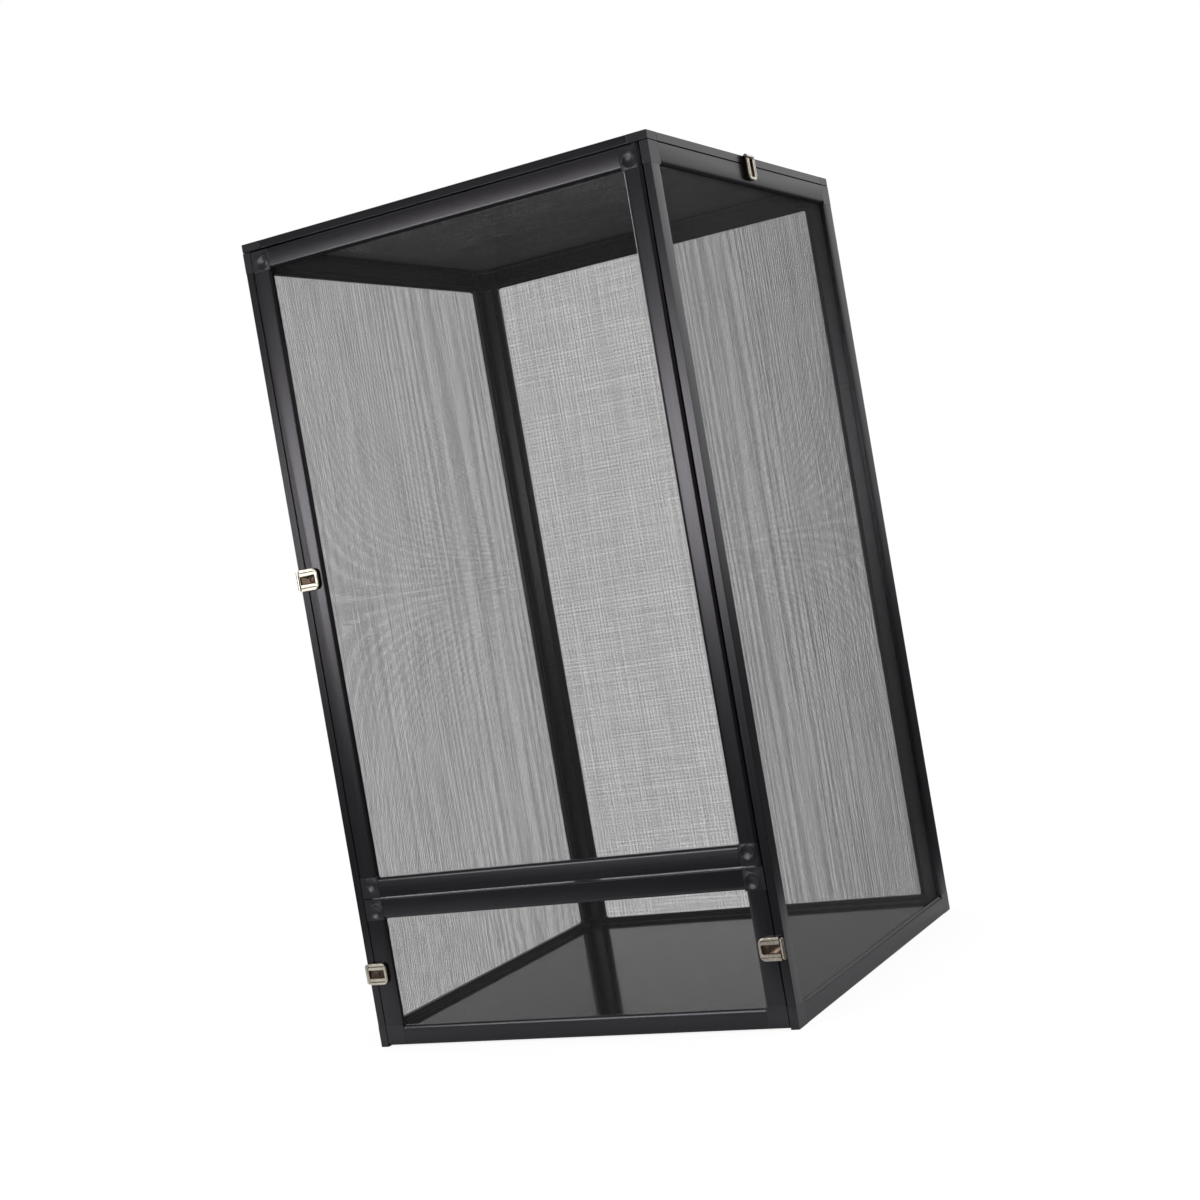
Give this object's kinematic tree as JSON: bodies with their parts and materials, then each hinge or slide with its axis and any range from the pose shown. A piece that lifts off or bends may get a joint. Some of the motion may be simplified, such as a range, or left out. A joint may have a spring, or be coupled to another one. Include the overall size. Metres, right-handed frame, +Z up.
{
  "type": "reptile terrarium",
  "caption": "Free-standing screened reptile cage: framed mesh walls, hinged mesh lid, side-hinged upper door, fold-down lower door, snap-flap latches and a floor tray.",
  "frame": {"origin": "middle of the base, on the surface the cage stands on", "axes": "+Z up; -Y is the front with the two doors; +X is the right-hand side seen from the front"},
  "size_m": [0.4364, 0.431, 0.7628],
  "materials": {
    "satin_black_frame": "satin",
    "black_plastic": "satin",
    "floor_plastic": "gloss",
    "screen_wire": "satin",
    "black_vinyl": "matte",
    "black_rubber": "matte",
    "zinc_steel": "satin",
    "black_steel": "satin",
    "nickel_plate": "satin"
  },
  "bodies": {
    "cage": {"left_side_stiles": "satin_black_frame", "left_side_rails": "satin_black_frame", "left_side_corners": "black_plastic", "left_side_screen": "screen_wire", "left_side_spline": "black_vinyl", "right_side_stiles": "satin_black_frame", "right_side_rails": "satin_black_frame", "right_side_corners": "black_plastic", "right_side_screen": "screen_wire", "right_side_spline": "black_vinyl", "back_stiles": "satin_black_frame", "back_rails": "satin_black_frame", "back_corners": "black_plastic", "back_screen": "screen_wire", "back_spline": "black_vinyl", "floor_tray": "floor_plastic", "joining_pegs": "zinc_steel", "door_stops": "black_rubber", "pivot_brackets": "black_steel", "pivot_bracket_screws": "black_steel", "upper_door_pins": "black_steel", "lid_hinge_wall_leaves": "nickel_plate", "lid_hinge_pins": "nickel_plate", "lid_hinge_wall_screws": "nickel_plate", "upper_latch_base": "nickel_plate", "lower_left_latch_base": "nickel_plate", "lower_right_latch_base": "nickel_plate", "door_latch_pins": "nickel_plate", "door_latch_screws": "nickel_plate", "lid_latch_stud": "nickel_plate"},
    "upper_door": {"upper_door_stiles": "satin_black_frame", "upper_door_rails": "satin_black_frame", "upper_door_corners": "black_plastic", "upper_door_screen": "screen_wire", "upper_door_spline": "black_vinyl", "upper_door_stud": "nickel_plate"},
    "lower_door": {"lower_door_stiles": "satin_black_frame", "lower_door_rails": "satin_black_frame", "lower_door_corners": "black_plastic", "lower_door_screen": "screen_wire", "lower_door_spline": "black_vinyl", "lower_door_pins": "zinc_steel", "lower_door_studs": "nickel_plate"},
    "lid": {"lid_stiles": "satin_black_frame", "lid_rails": "satin_black_frame", "lid_corners": "black_plastic", "lid_screen": "screen_wire", "lid_spline": "black_vinyl", "lid_hinge_lid_leaves": "nickel_plate", "lid_hinge_lid_screws": "nickel_plate", "lid_latch_base": "nickel_plate", "lid_latch_pin": "nickel_plate", "lid_latch_screws": "nickel_plate"},
    "upper_latch_flap": {"upper_latch_flap": "nickel_plate"},
    "lower_left_latch_flap": {"lower_left_latch_flap": "nickel_plate"},
    "lower_right_latch_flap": {"lower_right_latch_flap": "nickel_plate"},
    "lid_latch_flap": {"lid_latch_flap": "nickel_plate"}
  },
  "joints": [
    {"name": "upper_door_hinge", "type": "hinge", "parent": "cage", "child": "upper_door", "pos_m": [0.2003, -0.209, 0.44675], "axis": [0, 0, 1], "range_deg": [0, 90]},
    {"name": "lower_door_hinge", "type": "hinge", "parent": "cage", "child": "lower_door", "pos_m": [0, -0.209, 0.0048], "axis": [1, 0, 0], "range_deg": [0, 85]},
    {"name": "lid_hinge", "type": "hinge", "parent": "cage", "child": "lid", "pos_m": [-0.2164, 0, 0.7538], "axis": [0, -1, 0], "range_deg": [0, 180]},
    {"name": "upper_latch_hinge", "type": "hinge", "parent": "cage", "child": "upper_latch_flap", "pos_m": [-0.2118, -0.216, 0.444], "axis": [0, 0, -1], "range_deg": [0, 150]},
    {"name": "lower_left_latch_hinge", "type": "hinge", "parent": "cage", "child": "lower_left_latch_flap", "pos_m": [-0.2118, -0.216, 0.07015], "axis": [0, 0, -1], "range_deg": [0, 150]},
    {"name": "lower_right_latch_hinge", "type": "hinge", "parent": "cage", "child": "lower_right_latch_flap", "pos_m": [0.2118, -0.216, 0.07015], "axis": [0, 0, 1], "range_deg": [0, 150]},
    {"name": "lid_latch_hinge", "type": "hinge", "parent": "lid", "child": "lid_latch_flap", "pos_m": [0.216, 0, 0.7608], "axis": [0, -1, 0], "range_deg": [0, 150]}
  ]
}
